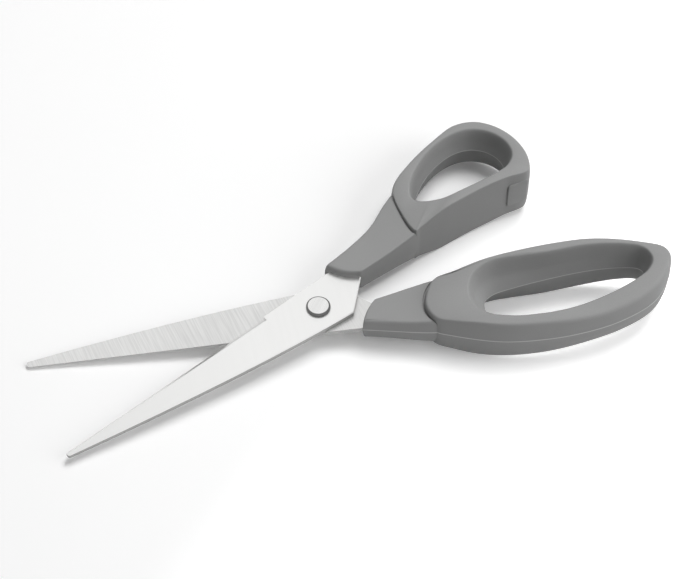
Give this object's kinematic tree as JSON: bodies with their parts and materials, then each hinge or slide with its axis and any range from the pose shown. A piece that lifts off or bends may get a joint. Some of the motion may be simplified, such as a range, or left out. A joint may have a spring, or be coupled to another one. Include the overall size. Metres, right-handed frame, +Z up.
{
  "type": "craft scissors",
  "caption": "Craft scissors with long straight steel blades on a rivet pivot, a small thumb loop and a long soft finger loop; they open and close about the rivet.",
  "frame": {"origin": "on the pivot axis, at the flat underside of the rivet's tail", "axes": "+X from the pivot back along the finger half, towards its loop; +Z up along the pivot axis, out of the rivet's head"},
  "size_m": [0.2129, 0.1017, 0.0233],
  "materials": {
    "blade_steel": "satin ground",
    "rivet_steel": "bright turned",
    "hard_plastic": "fine moulded grain",
    "soft_plastic": "soft matt"
  },
  "bodies": {
    "finger_half": {"finger_blade": "blade_steel", "finger_core": "hard_plastic", "finger_grip": "soft_plastic", "pivot_rivet": "rivet_steel", "rivet_washer": "rivet_steel"},
    "thumb_half": {"thumb_blade": "blade_steel", "thumb_core": "hard_plastic", "thumb_grip": "soft_plastic", "stop_pad": "soft_plastic"}
  },
  "joints": [
    {"name": "blade_pivot", "type": "hinge", "parent": "finger_half", "child": "thumb_half", "pos_m": [0, 0, 0.00315], "axis": [0, 0, 1], "range_deg": [-22, 75]}
  ]
}
